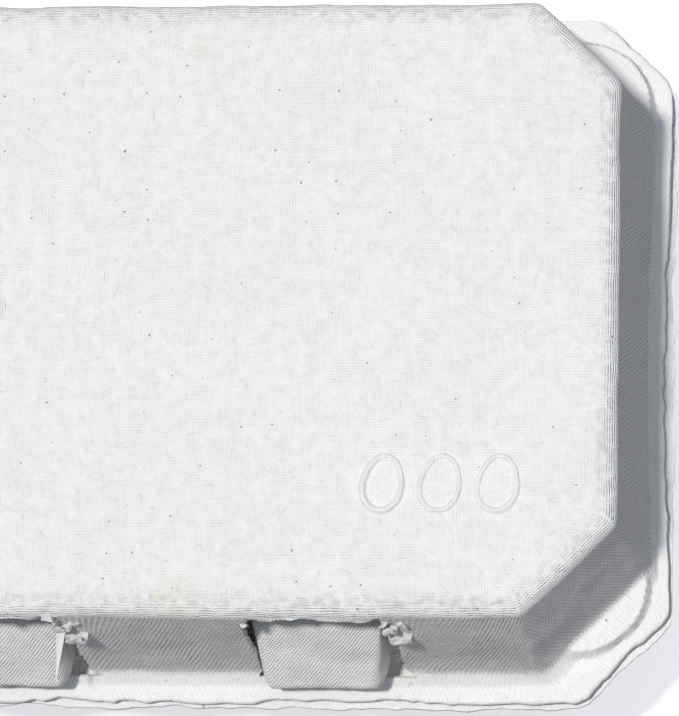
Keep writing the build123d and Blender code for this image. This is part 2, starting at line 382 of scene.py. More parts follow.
def hairGroup():
    # short bent fibres: in each cell a line at a random angle through the cell's point, with a little curve
    group, given, made = newGroup("hairs", "Mask", Spacing=5.0, Length=1.2, Width=0.06, Share=0.7)
    cell = cells(group, given["Vector"], compute(group, "DIVIDE", 1.0, given["Spacing"]))
    draw = group.nodes.new("ShaderNodeSeparateColor")
    connect(group, draw.inputs[0], cell.outputs["Color"])
    local = vectorMath(group, "SUBTRACT", given["Vector"], cell.outputs["Position"])
    turned = rotated(group, local, times(group, draw.outputs[0], 6.283))  # a full turn
    bend = times(group, compute(group, "SUBTRACT", draw.outputs[1], 0.5), 0.7)
    curve = times(group, times(group, turned[0], turned[0]), bend)
    off = compute(group, "ABSOLUTE", compute(group, "SUBTRACT", turned[1], curve))
    width = given["Width"]
    line = span(group, off, times(group, width, 0.5), width, 1.0, 0.0)
    reach = times(group, given["Length"], span(group, draw.outputs[2], 0.0, 1.0, 0.35, 1.0))
    inside = compute(group, "LESS_THAN", compute(group, "ABSOLUTE", turned[0]), reach)
    chosen = compute(group, "LESS_THAN", draw.outputs[2], given["Share"])
    connect(group, made, times(group, times(group, line, inside), chosen))
    return group


wirePrint = wirePrintGroup()
flecks = fleckGroup()
hairs = hairGroup()

pulpLook = {
    "paleTone": (0.87, 0.865, 0.845, 1),
    "deepTone": (0.83, 0.823, 0.803, 1),
    "fleckTone": (0.93, 0.925, 0.90, 1),
    "speckTone": (0.22, 0.17, 0.12, 1),
    "hairTone": (0.42, 0.39, 0.35, 1),
    "stainTone": (0.80, 0.74, 0.58, 1),
    # painted shade: the dark tone that the wire print's valleys are drawn towards
    "paintedShadeTone": (0.40, 0.395, 0.385, 1),
    "weaveShade": 0.13,  # painted shade: how much darker the valleys of the wire print are drawn
    "hairDepth": 0.03,  # mm
    "grainDepth": 0.10,  # mm
}


def useGroup(tree, group, **values):
    node = tree.nodes.new("ShaderNodeGroup")
    node.node_tree = group
    for label, value in values.items():
        connect(tree, node.inputs[label], value)
    return node.outputs[0]


def blendColour(tree, share, first, second):
    node = tree.nodes.new("ShaderNodeMix")
    node.data_type = "RGBA"
    connect(tree, node.inputs["Factor"], share)
    connect(tree, node.inputs[6], first)
    connect(tree, node.inputs[7], second)
    return node.outputs[2]


edgeLook = {
    "linePitch": 0.45,
    "lineDepth": 0.075,
    "wallPitch": 0.5,
    "wallTurn": 0.75,
    "wallDepth": 0.075,
    "wallStretch": 2.8,  # the print is drawn out up the wall
    "valleyShade": 0.5,  # painted shade: how much darker the print's valleys are drawn
    "wallFrom": 5.0,  # larger values than this in the fromEdge map belong to the walls, the next to the rim
    "rimFrom": 10.0,
    "wallMark": 9.0,  # what the walls and the rim carry there
    "rimMark": 12.0,
}


def edgePrint(tree, place, flatHeight):
    # lines along the rounded edge, a sine of the distance from it, and a slanted print on the walls;
    # gives the height in mm and the painted shade in the print's valleys, how much darker they are drawn
    look = edgeLook
    source = tree.nodes.new("ShaderNodeUVMap")
    source.uv_map = "fromEdge"
    away = split(tree, source.outputs[0])[0]
    unsteady = compute(tree, "SUBTRACT", noise(tree, place, 0.35, 2.0).outputs["Fac"], 0.5)
    shifted = compute(tree, "ADD", away, times(tree, unsteady, 0.7))
    wave = compute(tree, "SINE", times(tree, shifted, 2 * math.pi / look["linePitch"]))
    band = times(tree, span(tree, away, -2.4, 0.4), span(tree, away, 2.6, 3.6, 1.0, 0.0))
    patch = span(tree, noise(tree, place, 0.8, 2.0).outputs["Fac"], 0.35, 0.6, 0.2, 1.0)
    lines = times(tree, times(tree, wave, look["lineDepth"]), times(tree, band, patch))
    drawn = vectorMath(tree, "MULTIPLY", place, (1, 1 / look["wallStretch"], 1))
    slant = useGroup(tree, wirePrint, Vector=drawn, Pitch=look["wallPitch"], Turn=look["wallTurn"],
                     Waver=0.6, Faintest=0.4)
    onWall = span(tree, away, look["wallFrom"], look["wallFrom"] + 1.0)
    onRim = span(tree, away, look["rimFrom"], look["rimFrom"] + 1.0, 1.0, 0.25)
    slanted = times(tree, times(tree, slant, look["wallDepth"]), onRim)
    flat = compute(tree, "ADD", flatHeight, lines)
    offWall = compute(tree, "SUBTRACT", 1.0, onWall)
    height = compute(tree, "ADD", times(tree, flat, offWall), times(tree, slanted, onWall))
    # painted shade: the walls' slanted print is darker in its valleys
    valleyPaintedShade = times(tree, span(tree, slant, 0.35, -0.6), times(tree, onWall, onRim))
    return height, times(tree, valleyPaintedShade, look["valleyShade"])


def pulpFinish(name, printPitch=0.45, printTurn=0.0, printDepth=0.05, waver=0.25, faintest=0.25, leading=0.25,
               shift=(0, 0, 0), marks=1.0, tone=1.0, edged=False):
    # shift moves the pattern, marks is the strength of flecks and hairs, tone brightens the pulp
    look = pulpLook
    material = bpy.data.materials.new(name)
    material.use_nodes = True
    tree = material.node_tree
    shader = tree.nodes["Principled BSDF"]
    pattern = tree.nodes.new("ShaderNodeUVMap")
    pattern.uv_map = "sheet"
    place = vectorMath(tree, "ADD", pattern.outputs[0], shift)
    # colour: cloudy tone, then pale flecks, hairs, dark specks and a few stains
    cloud = noise(tree, place, 0.05, 4.0, 0.6).outputs["Fac"]
    mottle = noise(tree, place, 1.1, 3.0, 0.6).outputs["Fac"]
    pale = tuple(c * tone for c in look["paleTone"][:3]) + (1,)
    deep = tuple(c * tone for c in look["deepTone"][:3]) + (1,)
    cloudy = compute(tree, "ADD", times(tree, cloud, 0.35), times(tree, mottle, 0.65))
    colour = blendColour(tree, span(tree, cloudy, 0.36, 0.6), deep, pale)
    stain = useGroup(tree, flecks, Vector=place, Spacing=34.0, Size=4.0, Share=0.35, Ragged=5.0)
    colour = blendColour(tree, times(tree, stain, 0.35 * marks), colour, look["stainTone"])
    elsewhere = vectorMath(tree, "ADD", place, (71, 13, 0))
    bigFleck = useGroup(tree, flecks, Vector=place, Spacing=8.0, Size=1.0, Share=0.22, Ragged=2.6)
    fineFleck = useGroup(tree, flecks, Vector=elsewhere, Spacing=3.1, Size=0.36, Share=0.25, Ragged=0.3)
    fleckMask = compute(tree, "MAXIMUM", bigFleck, fineFleck)
    colour = blendColour(tree, times(tree, fleckMask, 0.4 * marks), colour, look["fleckTone"])
    hair = useGroup(tree, hairs, Vector=place, Spacing=2.6, Length=0.7, Width=0.065, Share=0.8)
    elsewhere = vectorMath(tree, "ADD", place, (31, 57, 0))
    longHair = useGroup(tree, hairs, Vector=elsewhere, Spacing=5.6, Length=1.3, Width=0.06, Share=0.6)
    hairMask = compute(tree, "MAXIMUM", hair, longHair)
    colour = blendColour(tree, times(tree, hairMask, 0.15 * marks), colour, look["hairTone"])
    elsewhere = vectorMath(tree, "ADD", place, (17, 91, 0))
    speck = useGroup(tree, flecks, Vector=elsewhere, Spacing=4.6, Size=0.2, Share=0.4, Ragged=0.4)
    colour = blendColour(tree, times(tree, speck, 0.7 * marks), colour, look["speckTone"])
    # relief: wire print, fibrous grain, hairs standing a little proud, and painted shade in the print's
    # valleys
    wires = useGroup(tree, wirePrint, Vector=place, Pitch=printPitch, Turn=printTurn, Waver=waver,
                     Faintest=faintest, Leading=leading)
    grain = noise(tree, place, 2.6, 4.0, 0.65).outputs["Fac"]
    coarse = noise(tree, place, 0.45, 3.0, 0.6).outputs["Fac"]
    height = times(tree, wires, printDepth)
    if edged:
        height, valleyPaintedShade = edgePrint(tree, place, height)
        # painted shade in the wall print's valleys
        colour = blendColour(tree, valleyPaintedShade, colour, look["paintedShadeTone"])
    # painted shade: the wire print's valleys are darkened towards the dark valley tone
    weavePaintedShade = times(tree, span(tree, wires, 0.5, -0.7), look["weaveShade"])
    colour = blendColour(tree, weavePaintedShade, colour, look["paintedShadeTone"])
    connect(tree, shader.inputs["Base Color"], colour)
    height = compute(tree, "ADD", height, times(tree, grain, look["grainDepth"]))
    height = compute(tree, "ADD", height, times(tree, coarse, look["grainDepth"] * 1.6))
    height = compute(tree, "ADD", height, times(tree, hairMask, look["hairDepth"]))
    bump = tree.nodes.new("ShaderNodeBump")
    bump.inputs["Distance"].default_value = metre
    bump.inputs["Strength"].default_value = 1.0
    connect(tree, bump.inputs["Height"], height)
    connect(tree, shader.inputs["Normal"], bump.outputs[0])
    connect(tree, shader.inputs["Roughness"], span(tree, mottle, 0.3, 0.7, 0.86, 0.98))
    shader.inputs["Specular IOR Level"].default_value = 0.25
    shader.inputs["Sheen Weight"].default_value = 0.08
    return material


lidPulp = pulpFinish("lidPulp", printPitch=0.42, printDepth=0.05, faintest=0.4, edged=True)
motifPulp = pulpFinish("motifPulp", printPitch=0.42, printDepth=0.02)
# the lugs' pulp is drawn paler (tone 1.06): painted light for their faces, which catch more sun than the
# walls
lugPulpPaintedLight = pulpFinish("lugPulpPaintedLight", printPitch=0.46, printTurn=0.6, printDepth=0.085, waver=0.3, faintest=0.9,
                     leading=0.5, shift=(3, 9, 0), marks=0.35, tone=1.06)
basePulp = pulpFinish("basePulp", printPitch=0.5, printTurn=0.3, shift=(41, 23, 0), tone=0.98)
tornPulp = pulpFinish("tornPulp", printPitch=0.6, printDepth=0.02, shift=(11, 5, 0), marks=0.5, tone=0.78)
print("pulp finishes made")


# lid
lidShape = {
    "pulp": 1.7,
    "rimRounding": 4.0,
    "rimFrontLeg": 13.6,
    "rimBackLeg": 11.0,
    "cornerRounding": 2.6,
    "topRound": 2.4,
    "ledgeRadius": 10.9,
    "ledgeSoft": 0.7,
    "rimEdge": 0.7,  # the rim's edge is rounded over by this radius
    "footReach": 1.9,  # a soft step runs along the walls' foot
    "footRise": 1.5,
    "slotHalf": 12.0,
    "slotTop": 67.6,
    "slotSill": 0.9,
    "slotPull": {-1: 1.2, 1: 3.4},  # each slot's left and right upper corner close in
    "pullFrom": 56.5,
    "slotCloses": {-1: 0.5, 1: -1.5},  # and its edges draw in to the lug lower down
    "closeBelow": 60.0,
    "closeOver": 8.0,
    "pullReach": 5.0,
    "tornReach": 0.7,
    "ragged": 0.2,
    "lipReach": 0.5,
    "lipRagged": 0.28,
    "lipOut": 0.18,
    "frontFrom": -35,  # places in front of this belong to the front wall
    "sideBow": 0.9,
    "bowHalf": 38,
    "sidesFrom": 62,  # places further out than this bow in
    "columnsHalf": 46.0,  # the front's columns keep their places this far from the middle
    "seed": 5,
}
rightLug = (lugLow[0] + lugHigh[0]) / 2
leftLug = (leftLugLow[0] + leftLugHigh[0]) / 2
lugX = (rightLug - leftLug) / 2  # the slots lie evenly about the middle


def frontPlaces(halfKept):
    # columns of the long sides: crowded at the slots' edges, at the same x on every level
    s = lidShape["slotHalf"]
    edges = [-halfKept, -lugX - s, -lugX + s, lugX - s, lugX + s, halfKept]
    inner = np.concatenate([spaced(a, b, 1.0, 0.6) for a, b in zip(edges, edges[1:])] + [[halfKept]])
    ends = np.linspace(0, 1, 6)[1:]

    def places(length):
        far = length / 2 - halfKept
        x = np.concatenate([-halfKept - far * ends[::-1], inner, halfKept + far * ends])
        return (x + length / 2) / length

    return places


def evenPlaces(count):
    return lambda length: np.linspace(0, 1, count)


def lidLevel(move, rim=False):
    # the lid's outline, moved in from its foot; the rim has its own outline
    keep = lidShape
    runs = [frontPlaces(keep["columnsHalf"]), evenPlaces(30), evenPlaces(66), evenPlaces(26)] * 2
    runs[5], runs[7] = evenPlaces(26), evenPlaces(30)
    if rim:
        legs = keep["rimFrontLeg"], keep["rimBackLeg"]
        return corneredOutline(lidRimHigh[0], lidRimLow[1], lidRimHigh[1], *legs, keep["rimRounding"], runs)
    loss = (2 - math.sqrt(2)) * move
    frontLeg = rightWallHigh[0] - frontWallHigh[0] - loss
    backLeg = rightWallHigh[0] - backWallHigh[0] - loss
    half, front, back = rightWallHigh[0] - move, frontWallLow[1] + move, backWallHigh[1] - move
    return corneredOutline(half, front, back, frontLeg, backLeg, keep["cornerRounding"], runs)


def ledgeHeight(x, y):
    # the low round step at each corner: full height inside a circle, smoothly down across its edge
    keep = lidShape
    height = 0
    for node in ("lid_ledge_front_right", "lid_ledge_back_right"):
        low, high = boxMm(node)
        front = node.endswith("front_right")
        centreX = high[0] - keep["ledgeRadius"]
        centreY = low[1] + keep["ledgeRadius"] if front else high[1] - keep["ledgeRadius"]
        away = np.hypot(np.abs(x) - centreX, y - centreY)
        rise = smooth((keep["ledgeRadius"] - away) / keep["ledgeSoft"] + 0.5)
        height = np.maximum(height, rise * (high[2] - lidFoot))
    return height


def lidRings(rim, foot, inward):
    # rings inward: the rim with its ledges and soft step, the sloping walls, an arc over the edge, the top
    keep = lidShape
    top = foot + inward * wallSlope * (lidTop - lidFoot)
    rows, kinds = [], []
    width = np.linalg.norm(rim - foot, axis=1)
    ledgeTop = boxMm("lid_ledge_front_right")[1][2] - lidFoot
    for t in np.concatenate([[0, 0.025, 0.06, 0.11], np.linspace(0.17, 0.98, 16)]):
        flat = rim * (1 - t) + foot * t
        ledge = ledgeHeight(flat[:, 0], flat[:, 1])
        fall = np.clip(1 - width * t / keep["rimEdge"], 0, 1)
        step = np.clip(1 - width * (1 - t) / keep["footReach"], 0, 1) ** 1.2 * (1 - ledge / ledgeTop)
        z = lidFoot + ledge - keep["rimEdge"] * (1 - np.sqrt(1 - fall * fall)) + keep["footRise"] * step
        rows.append(np.column_stack([flat, z]))
        kinds.append(("rim", t))
    ledge = ledgeHeight(foot[:, 0], foot[:, 1])
    footZ = lidFoot + ledge + keep["footRise"] * (1 - ledge / ledgeTop)
    rollStart = lidTop - keep["topRound"] * (1 - math.sin(math.atan(wallSlope)))
    wallShares = np.concatenate([[0.02], np.linspace(0.06, 0.9, 20)])
    wallShares = np.concatenate([wallShares, [(keep["slotTop"] - lidFoot) / (rollStart - lidFoot), 1.0]])
    for share in wallShares:
        z = footZ + (rollStart - footZ) * share
        rows.append(np.column_stack([foot + inward * (wallSlope * (z - lidFoot))[:, None], z]))
        kinds.append(("wall", share))
    tilt = math.atan(wallSlope)
    centre = keep["topRound"] * (1 - math.sin(tilt)) / math.cos(tilt)
    for angle in np.linspace(tilt, math.pi / 2, 10):
        move = centre - keep["topRound"] * math.cos(angle)
        z = lidTop - keep["topRound"] * (1 - math.sin(angle))
        rows.append(level(top + inward * move, z))
        kinds.append(("roll", (math.pi / 2 - angle) * keep["topRound"]))
    edge = rows[-1][:, :2]
    middleY = (edge[:, 1].min() + edge[:, 1].max()) / 2
    half = keep["columnsHalf"]
    core = level(np.clip(edge[:, :1], -half, half) * 0.5, middleY)
    for share in np.concatenate([[0.015, 0.04], np.linspace(0.08, 1.0, 16)]):
        rows.append(level(edge * (1 - share) + core * share, lidTop))
        kinds.append(("top", share))
    return np.array(rows), kinds


def tearSlots(grid, tones):
    # draws the slots' edges in by bell curves beside them and roughens them; gives the faces to leave out
    keep = lidShape
    slotFaces = np.zeros((grid.shape[0] - 1, grid.shape[1]), bool)
    front = grid[:, :, 1] < keep["frontFrom"]
    wall = (tones == 1)[:, None] & front
    for sign in (-1, 1):
        offset = grid[:, :, 0] - sign * lugX
        nearTop = (grid[:, :, 2] - keep["pullFrom"]) / (keep["slotTop"] - keep["pullFrom"])
        nearTop = np.clip(nearTop, 0, 1.2) ** 2
        inner = (np.abs(offset) <= keep["slotHalf"] + 0.01) & front
        cellX = (offset + np.roll(offset, -1, 1)) / 2
        cellZ = (grid[:-1, :, 2] + grid[1:, :, 2]) / 2
        inHeight = (cellZ > lidFoot + keep["slotSill"]) & (cellZ < keep["slotTop"])
        slotFaces |= (np.abs(cellX[:-1]) < keep["slotHalf"]) & front[:-1] & inHeight
        for side in (1, -1):
            beside = np.abs(offset - side * keep["slotHalf"])
            fall = np.exp(-((beside / keep["pullReach"]) ** 2))
            grid[:, :, 0] -= side * keep["slotPull"][side] * nearTop * fall * wall * (1 - inner * 0.2)
            lower = smooth((keep["closeBelow"] - grid[:, :, 2]) / keep["closeOver"])
            grid[:, :, 0] += keep["slotCloses"][side] * lower * fall * wall
            torn = np.exp(-beside / keep["tornReach"]) * wall
            grid[:, :, 0] += keep["ragged"] * torn * (0.6 + nearTop) * lumps(grid, 2.4, keep["seed"] + 3)
        overTop = np.exp(-np.abs(grid[:, :, 2] - keep["slotTop"]) / keep["lipReach"])
        overTop = overTop * inner * (tones == 1)[:, None]
        grid[:, :, 2] += keep["lipRagged"] * overTop * lumps(grid, 2.1, keep["seed"] + 4)
        grid[:, :, 1] -= keep["lipOut"] * overTop * (1 + lumps(grid, 3.0, keep["seed"] + 14))
    return slotFaces


def buildLid():
    # one pressed sheet of rings, bowed in along its short sides, with torn slots and a ragged, wavy rim
    keep = lidShape
    rim, foot = lidLevel(0, rim=True), lidLevel(0)
    inward = lidLevel(1.0) - foot
    grid, kinds = lidRings(rim, foot, inward)
    tones = np.array([{"rim": 0, "wall": 1, "roll": 2, "top": 2}[kind] for kind, _ in kinds])
    share = np.array([length for _, length in kinds])
    edge = grid[[kind for kind, _ in kinds].index("top") - 1, :, :2].copy()
    # the right and left sides bow in a little, most at the rim
    bow = keep["sideBow"] * np.clip(1 - (grid[:, :, 1] / keep["bowHalf"]) ** 2, 0, 1) ** 2
    low = np.clip(1 - (grid[:, :, 2] - lidFoot) / (lidTop - lidFoot), 0, 1)
    sides = np.abs(grid[:, :, 0]) > keep["sidesFrom"]
    grid[:, :, 0] -= np.sign(grid[:, :, 0]) * bow * low * sides * (tones < 2)[:, None]
    slotFaces = tearSlots(grid, tones)
    # ragged outer edge and a wavy rim
    rimShare = np.where(tones == 0, 1 - share, 0)[:, None]
    outward = (rim - foot) / np.linalg.norm(rim - foot, axis=1)[:, None]
    edgePoints = level(rim, 0.0)
    torn = np.minimum(layered(edgePoints, keep["seed"], (0.28, 17), (0.16, 5), (0.09, 1.8)) - 0.2, 0.0)
    grid[:, :, :2] += (rimShare ** 2)[:, :, None] * (outward * torn[:, None])[None]
    wave = 0.09 + layered(edgePoints, keep["seed"] + 5, (0.09, 30), (0.05, 8))
    grid[:, :, 2] += rimShare * np.maximum(wave, 0)[None]
    # soft unevenness of pressed pulp, kept inside the nominal faces
    normal = normalsOf(grid, True)
    uneven = layered(grid, keep["seed"] + 7, (0.11, 24), (0.05, 9), (0.022, 3.2))
    grid += normal * (np.minimum(uneven - 0.12, 0.05) * (0.4 + 0.6 * (tones > 0)[:, None]))[:, :, None]
    seam = int(np.argmax(tones == 2))
    grid[seam] = grid[seam - 1]
    lengths = runLengths(foot)
    across = rowLengths(grid)
    sheet = sheetOf(lengths, across)
    # the top's pattern lies flat on it and runs on over the rounded edge at its true length
    flat = grid[:, :, :2].copy()
    for row, (kind, length) in enumerate(kinds):
        if kind == "roll":
            flat[row] = edge - inward * length
    flat = np.concatenate([flat, flat[:, :1]], 1)
    sheet = np.where((tones == 2)[:, None, None], flat, sheet)
    # how far each place is from the top's flat part, across the rounded edge
    marks = [edgeLook["rimMark"], edgeLook["wallMark"]]
    fromEdge = np.select([tones == 0, tones == 1], marks, 0.0)[:, None] * np.ones(grid.shape[1] + 1)
    inner = np.concatenate([edge, edge[:1]])
    for row, (kind, length) in enumerate(kinds):
        if kind == "roll":
            fromEdge[row] = length
        if kind == "top":
            fromEdge[row] = -np.linalg.norm(flat[row] - inner, axis=1)
    extra = sheetOf(lengths, across)
    extra[:, :, 0] = fromEdge
    lid = gridPiece("lidShell", grid, sheet, True, ~slotFaces, extra)
    weld(lid, 0.01)
    thicken(lid, keep["pulp"], 0.3, even=False)
    return lid


lidShell = buildLid()
lidNodes = ["lid_top", "lid_rim", "lid_front_wall", "lid_back_wall", "lid_left_wall", "lid_right_wall"]
corners = [f"{end}_{side}" for end in ("front", "back") for side in ("left", "right")]
lidNodes += [f"lid_{part}_{corner}" for part in ("corner", "ledge") for corner in corners]
settle(lidShell, "lid", lidNodes, lidPulp)
print("lid made:", len(lidShell.data.polygons), "faces")


# lock flap with its two lugs
flapShape = {
    "pulp": 1.6,
    "cornerRound": 7.0,
    "fixedHalf": 34.0,
    "lean": 20.0,  # degrees inward
    "lugHalf": 10.25,
    "noseLoss": 0.5,
    "sideRound": 0.9,
    "noseRound": 2.0,
    "noseHigh": 45.2,
    "noseLow": 42.2,
    "heel": 40.6,
    "kneeY": -45.4,
    "kneeZ": 56.3,
    "lugTop": 56.9,
    "bendRound": 1.9,
    "nosedOver": 11.0,  # the nose takes its shape over this height below lugTop
    "seed": 31,
}


def roundedPath(points, rounding, step=0.35):
    # straight lines with a parabola at each inner corner, as long as an arc of the given radius would be
    points = [np.array(p, float) for p in points]
    out = [points[0]]
    for before, corner, after in zip(points, points[1:], points[2:]):
        lengthIn, lengthOut = np.linalg.norm(before - corner), np.linalg.norm(after - corner)
        inward, outward = (before - corner) / lengthIn, (after - corner) / lengthOut
        half = math.acos(np.clip(inward @ outward, -1, 1)) / 2
        trim = min(rounding / math.tan(half), 0.45 * lengthIn, 0.45 * lengthOut)
        t = np.linspace(0, 1, 7)[:, None]
        start, end = corner + inward * trim, corner + outward * trim
        out.extend((1 - t) ** 2 * start + 2 * t * (1 - t) * corner + t ** 2 * end)
    out.append(points[-1])
    out = np.array(out)
    length = np.concatenate([[0], np.cumsum(np.linalg.norm(np.diff(out, axis=0), axis=1))])
    at = np.linspace(0, length[-1], int(length[-1] / step) + 2)
    return np.column_stack([np.interp(at, length, out[:, k]) for k in (0, 1)]), at


def buildFlap():
    # a leaning sheet pushed out along -Y by each lug's section, times a quarter-ellipse edge across its width
    keep = flapShape
    foot, top = flapLow[2], flapHigh[2]
    lean = math.tan(math.radians(keep["lean"]))

    def faceY(z):
        return flapLow[1] + (z - foot) * lean

    nose = lugLow[1] + 0.05
    path, along = roundedPath(
        [
            (faceY(foot), foot),
            (faceY(keep["heel"]), keep["heel"]),
            (nose + 0.3, keep["noseLow"]),
            (nose, keep["noseHigh"]),
            (keep["kneeY"], keep["kneeZ"]),
            (faceY(keep["lugTop"]), keep["lugTop"]),
            (faceY(top) + 0.02, top),
        ],
        keep["bendRound"],
    )
    y, z = path[:, 0], np.maximum.accumulate(path[:, 1])
    half = keep["lugHalf"]
    stops = [-flapHigh[0], leftLug - half, leftLug + half, rightLug - half, rightLug + half, flapHigh[0]]
    x = np.concatenate([spaced(a, b, 0.55, 0.75) for a, b in zip(stops, stops[1:])] + [[flapHigh[0]]])
    gridX, gridZ = np.meshgrid(x, z)
    push = (y - faceY(z))[:, None]
    nosed = smooth((keep["lugTop"] - gridZ) / keep["nosedOver"])
    share = np.zeros_like(gridX)
    for centre in (leftLug, rightLug):
        away = half - keep["noseLoss"] * nosed - np.abs(gridX - centre)
        width = keep["sideRound"] + (keep["noseRound"] - keep["sideRound"]) * nosed
        share = np.maximum(share, np.sqrt(np.clip(1 - (1 - np.clip(away / width, 0, 1)) ** 2, 0, 1)))
    gridY = faceY(gridZ) + push * share
    # the panel's upper corners are rounded, beyond the lugs
    r = keep["cornerRound"]  # beyond the fixed part, the sides draw in along this circle
    high = np.clip(gridZ - (top - r), 0, r)
    reach = flapHigh[0] - r + np.sqrt(r * r - high * high)
    fixed = keep["fixedHalf"]
    outer = np.sign(gridX) * (fixed + (np.abs(gridX) - fixed) * (reach - fixed) / (flapHigh[0] - fixed))
    gridX = np.where(np.abs(gridX) > fixed, outer, gridX)
    grid = np.stack([gridX, gridY, gridZ], 2)
    normal = normalsOf(grid, False)
    uneven = layered(grid, keep["seed"], (0.10, 11), (0.05, 4))
    grid += normal * np.minimum(uneven - 0.1, 0.0)[:, :, None]
    places = np.stack([gridX, np.broadcast_to(along[:, None], gridX.shape)], 2)
    flap = gridPiece("lockFlap", grid, places, False)
    thicken(flap, keep["pulp"], 0.25)
    return flap


lockFlap = buildFlap()
settle(lockFlap, "lock_flap", ["lock_flap_panel", "lock_lug_left", "lock_lug_right"], lugPulpPaintedLight)
print("lock flap made")


# base tray
trayShape = {
    "pulp": 1.6,
    "rimFrontLeg": 13.6,
    "rimBackLeg": 11.0,
    "rimRounding": 4.0,
    "bandHalf": 72.4,
    "bandFront": -48.2,
    "bandBack": 50.7,
    "bandLeg": 11.5,
    "bandRounding": 3.0,
    "bandDraft": 8.0,
    "bandPulp": 1.8,
    "columnJoint": 23.4,
    "rowJoint": 1.25,
    "cupMouth": 42.0,
    "cupRound": 15.0,
    "cupDraft": 16.0,
    "floor": 1.8,
    "postFoot": 9.6,
    "postTopRadius": 4.6,
    "postTop": 65.5,
    "halfPostFoot": 6.6,
    "halfPostTopRadius": 4.2,
    "halfPostTop": 35.4,
    "ridgeWidth": 2.6,
    "ridgeHeight": 2.2,
    "floorBlend": 4.5,  # how softly one shape goes over in the next
    "cupBlend": 1.4,
    "coneBlend": 2.2,
    "postBlend": 1.8,
    "halfPostBlend": 1.2,
    "step": 0.75,
    "seed": 61,
}


trayRuns = [evenPlaces(90), evenPlaces(22), evenPlaces(60), evenPlaces(22)] * 2  # columns along each side


def bandSides(z, inset):
    # the side band's half width, front, back and cut corners at height z, moved in by its draft and the inset
    keep = trayShape
    move = (rimJoint - z) * math.tan(math.radians(keep["bandDraft"])) + inset
    leg = keep["bandLeg"] - (2 - math.sqrt(2)) * move
    return keep["bandHalf"] - move, keep["bandFront"] + move, keep["bandBack"] - move, leg


def bandLevel(z, inset):
    half, front, back, leg = bandSides(z, inset)
    return corneredOutline(half, front, back, leg, leg, trayShape["bandRounding"], trayRuns)


def buildTrayRim():
    # rings from the rim's edge inward over the rim, down inside the band and a little way on to the web
    keep = trayShape
    legs = keep["rimFrontLeg"], keep["rimBackLeg"]
    rim = corneredOutline(baseRimHigh[0], baseRimLow[1], baseRimHigh[1], *legs, keep["rimRounding"], trayRuns)
    rows = []
    inner = bandLevel(rimJoint, keep["bandPulp"])
    for t in (0, 0.05, 0.2, 0.4, 0.6, 0.78, 0.9):
        rows.append(level(rim * (1 - t) + inner * t, rimJoint))
    for drop in (0.15, 0.5, 1.2, 2.5, 4.5, 6.5, 8.5, 10.5, 12.0, 12.8, 13.1):
        z = rimJoint - drop
        soft = 0.6 * math.exp(-drop / 0.6) + 0.7 * math.exp(-(z - webTop) / 0.5)
        rows.append(level(bandLevel(z, keep["bandPulp"] + soft), z))
    for inset in (1.2, 2.0, 3.0):
        rows.append(level(bandLevel(webTop, keep["bandPulp"] + inset), webTop + 0.04))
    grid = np.array(rows)
    outward = (rim - inner) / np.linalg.norm(rim - inner, axis=1)[:, None]
    points = level(rim, 0.0)
    torn = np.minimum(layered(points, keep["seed"], (0.22, 19), (0.14, 6), (0.08, 2)) - 0.4, 0.0)
    share = np.zeros(len(grid))
    share[:5] = (1, 0.9, 0.6, 0.35, 0.15)
    grid[:, :, :2] += share[:, None, None] * (outward * torn[:, None])[None]
    normal = normalsOf(grid, True)
    uneven = np.minimum(layered(grid, keep["seed"] + 3, (0.10, 22), (0.04, 6)) - 0.14, -0.01)
    grid += normal * uneven[:, :, None]
    across = rowLengths(grid)
    ring = gridPiece("trayRim", grid, sheetOf(runLengths(rim), across), True)
    thicken(ring, keep["pulp"], 0.25, even=False)
    return ring


def softLow(first, second, blend):
    # the lower of two heights with a smooth change from one to the other
    mix = np.clip(0.5 + 0.5 * (second - first) / blend, 0, 1)
    return second * (1 - mix) + first * mix - blend * mix * (1 - mix)


def softHigh(first, second, blend):
    return -softLow(-first, -second, blend)


def roundedSquare(x, y, half, rounding):
    # signed distance to a square with rounded corners, below zero inside it
    awayX, awayY = np.abs(x) - half + rounding, np.abs(y) - half + rounding
    outside = np.hypot(np.maximum(awayX, 0), np.maximum(awayY, 0))
    return outside + np.minimum(np.maximum(awayX, awayY), 0) - rounding


def insideBand(x, y):
    # signed distance in from the band's inner foot line, above zero inside it
    half, front, back, leg = bandSides(webTop, trayShape["bandPulp"])
    sides = np.minimum(half - np.abs(x), np.minimum(y - front, back - y))
    cutBack = (half + back - leg - np.abs(x) - y) / math.sqrt(2)
    cutFront = (half - front - leg - np.abs(x) + y) / math.sqrt(2)
    return np.minimum(sides, np.minimum(cutBack, cutFront))


